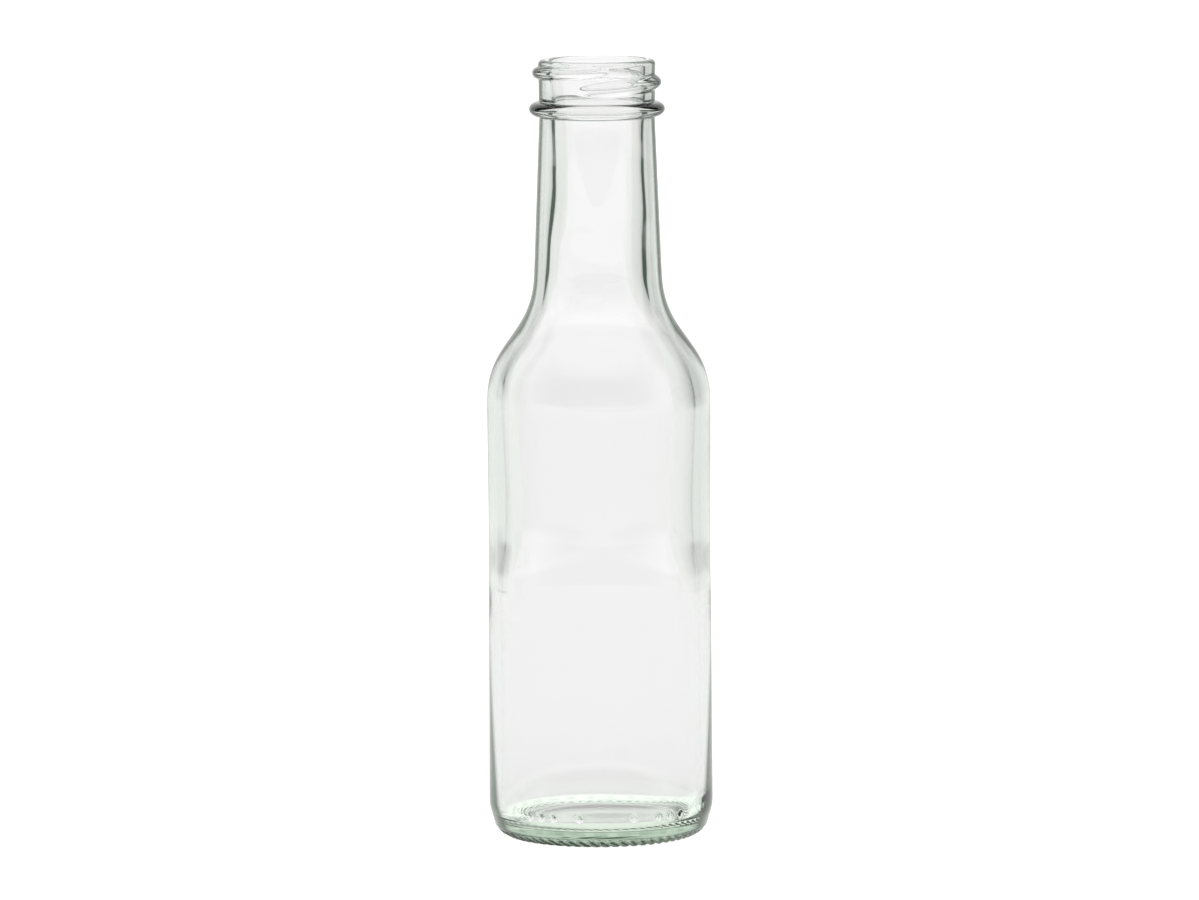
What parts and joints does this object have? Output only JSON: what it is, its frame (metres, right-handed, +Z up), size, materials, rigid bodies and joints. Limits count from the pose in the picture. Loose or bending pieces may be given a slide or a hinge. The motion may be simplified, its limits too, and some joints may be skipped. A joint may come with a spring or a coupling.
{
  "type": "glass sauce bottle",
  "caption": "Clear glass sauce bottle with a slim neck, rounded shoulder, straight round body, screw-thread mouth and shallow push-up base; empty, uncapped and unlabelled.",
  "frame": {"origin": "centre of the circle that the bearing ring stands on, at the ring's lowest level", "axes": "+Z up the bottle's axis to the mouth; -Y is the side the picture shows, where the thread begins and the round mould dots are; +X is the viewer's right"},
  "size_m": [0.0476, 0.0476, 0.165],
  "materials": {
    "glass": "gloss"
  },
  "bodies": {
    "root": {"bottle": "glass"}
  },
  "joints": []
}
